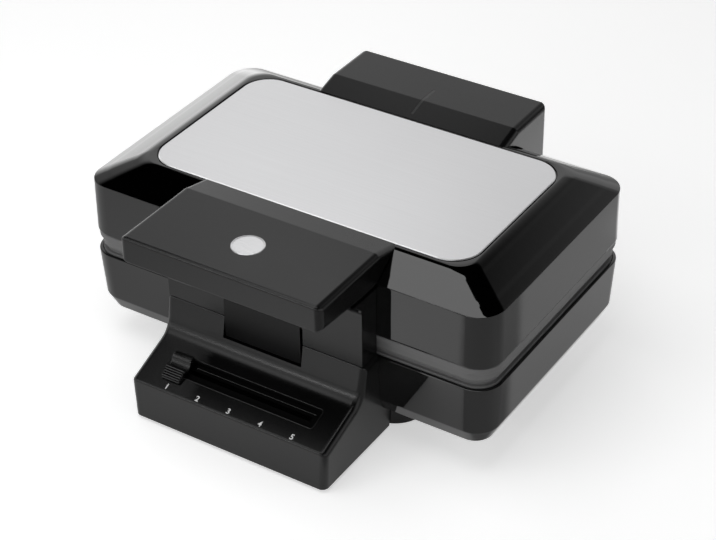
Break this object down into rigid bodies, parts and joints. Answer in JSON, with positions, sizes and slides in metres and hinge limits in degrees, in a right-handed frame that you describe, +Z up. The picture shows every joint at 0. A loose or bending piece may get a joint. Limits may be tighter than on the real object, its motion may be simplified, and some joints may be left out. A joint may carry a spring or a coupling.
{
  "type": "waffle maker",
  "caption": "Twin-waffle electric maker: glossy oval clamshell with a steel lid panel, front handle with latch, browning slider and rear hinge block.",
  "frame": {"origin": "on the counter, under the middle of the whole machine", "axes": "+X to the right seen from the front, +Y to the back (hinge side), +Z up"},
  "size_m": [0.3412, 0.3112, 0.1575],
  "materials": {
    "housing_gloss": "glossy black moulded shell",
    "block_matt": "fine grained matt black",
    "rim_matt": "matt black",
    "steel": "satin stainless sheet",
    "plate_cast": "cast aluminium with a dark non-stick coat",
    "element": "heat-darkened steel tube",
    "reflector": "bright aluminised sheet",
    "fastener": "zinc-plated steel",
    "hinge_steel": "turned steel",
    "hinge_cast": "die-cast, dark",
    "foot_rubber": "soft black rubber",
    "board": "green circuit board",
    "ceramic": "white glazed porcelain",
    "badge": "satin silver",
    "lens": "smoked light pipe",
    "sensor": "small metal can"
  },
  "bodies": {
    "base": {"base_housing": "housing_gloss", "belly_pan": "block_matt", "belly_screws": "fastener", "base_rim": "rim_matt", "lower_rim_screws": "fastener", "lower_waffle_plate": "plate_cast", "lower_plate_screws": "fastener", "lower_element": "element", "lower_element_clips": "fastener", "lower_reflector": "reflector", "temperature_sensor": "sensor", "thermal_fuse": "sensor", "terminal_block": "ceramic", "control_housing": "block_matt", "latch_keeper": "hinge_steel", "slider_track": "rim_matt", "slide_potentiometer": "fastener", "control_board": "board", "board_screws": "fastener", "front_base_plate": "block_matt", "rear_housing": "block_matt", "hinge_barrel": "block_matt", "barrel_screws": "fastener", "rear_base_plate": "block_matt", "base_plate_screws": "fastener", "housing_screws": "fastener", "hinge_pins": "hinge_steel", "cord_inlet_bush": "foot_rubber", "rubber_feet": "foot_rubber"},
    "lid": {"lid_housing": "housing_gloss", "steel_cover": "steel", "lid_rim": "rim_matt", "upper_rim_screws": "fastener", "upper_waffle_plate": "plate_cast", "upper_plate_screws": "fastener", "upper_element": "element", "upper_element_clips": "fastener", "upper_reflector": "reflector", "handle_cover": "block_matt", "handle_base": "block_matt", "handle_screws": "fastener", "badge_disc": "badge", "latch_pin": "hinge_steel", "latch_spring": "hinge_steel", "hinge_cover": "block_matt", "hinge_cover_screws": "fastener", "hinge_brackets": "hinge_cast", "bracket_screws": "fastener", "indicator_lens": "lens", "lamp_board": "board"},
    "latch": {"latch_flap": "block_matt"},
    "slider": {"slider_knob": "block_matt", "slider_carrier": "rim_matt"}
  },
  "joints": [
    {"name": "lid_hinge", "type": "hinge", "parent": "base", "child": "lid", "pos_m": [0, 0.1364, 0.091], "axis": [-1, 0, 0], "range_deg": [0, 100]},
    {"name": "latch_pivot", "type": "hinge", "parent": "lid", "child": "latch", "pos_m": [0, -0.1038, 0.091], "axis": [-1, 0, 0], "range_deg": [0, 18], "stiffness_Nm_per_rad": 0.1},
    {"name": "browning_slide", "type": "slide", "parent": "base", "child": "slider", "axis": [1, 0, 0], "range_m": [0, 0.107]}
  ]
}
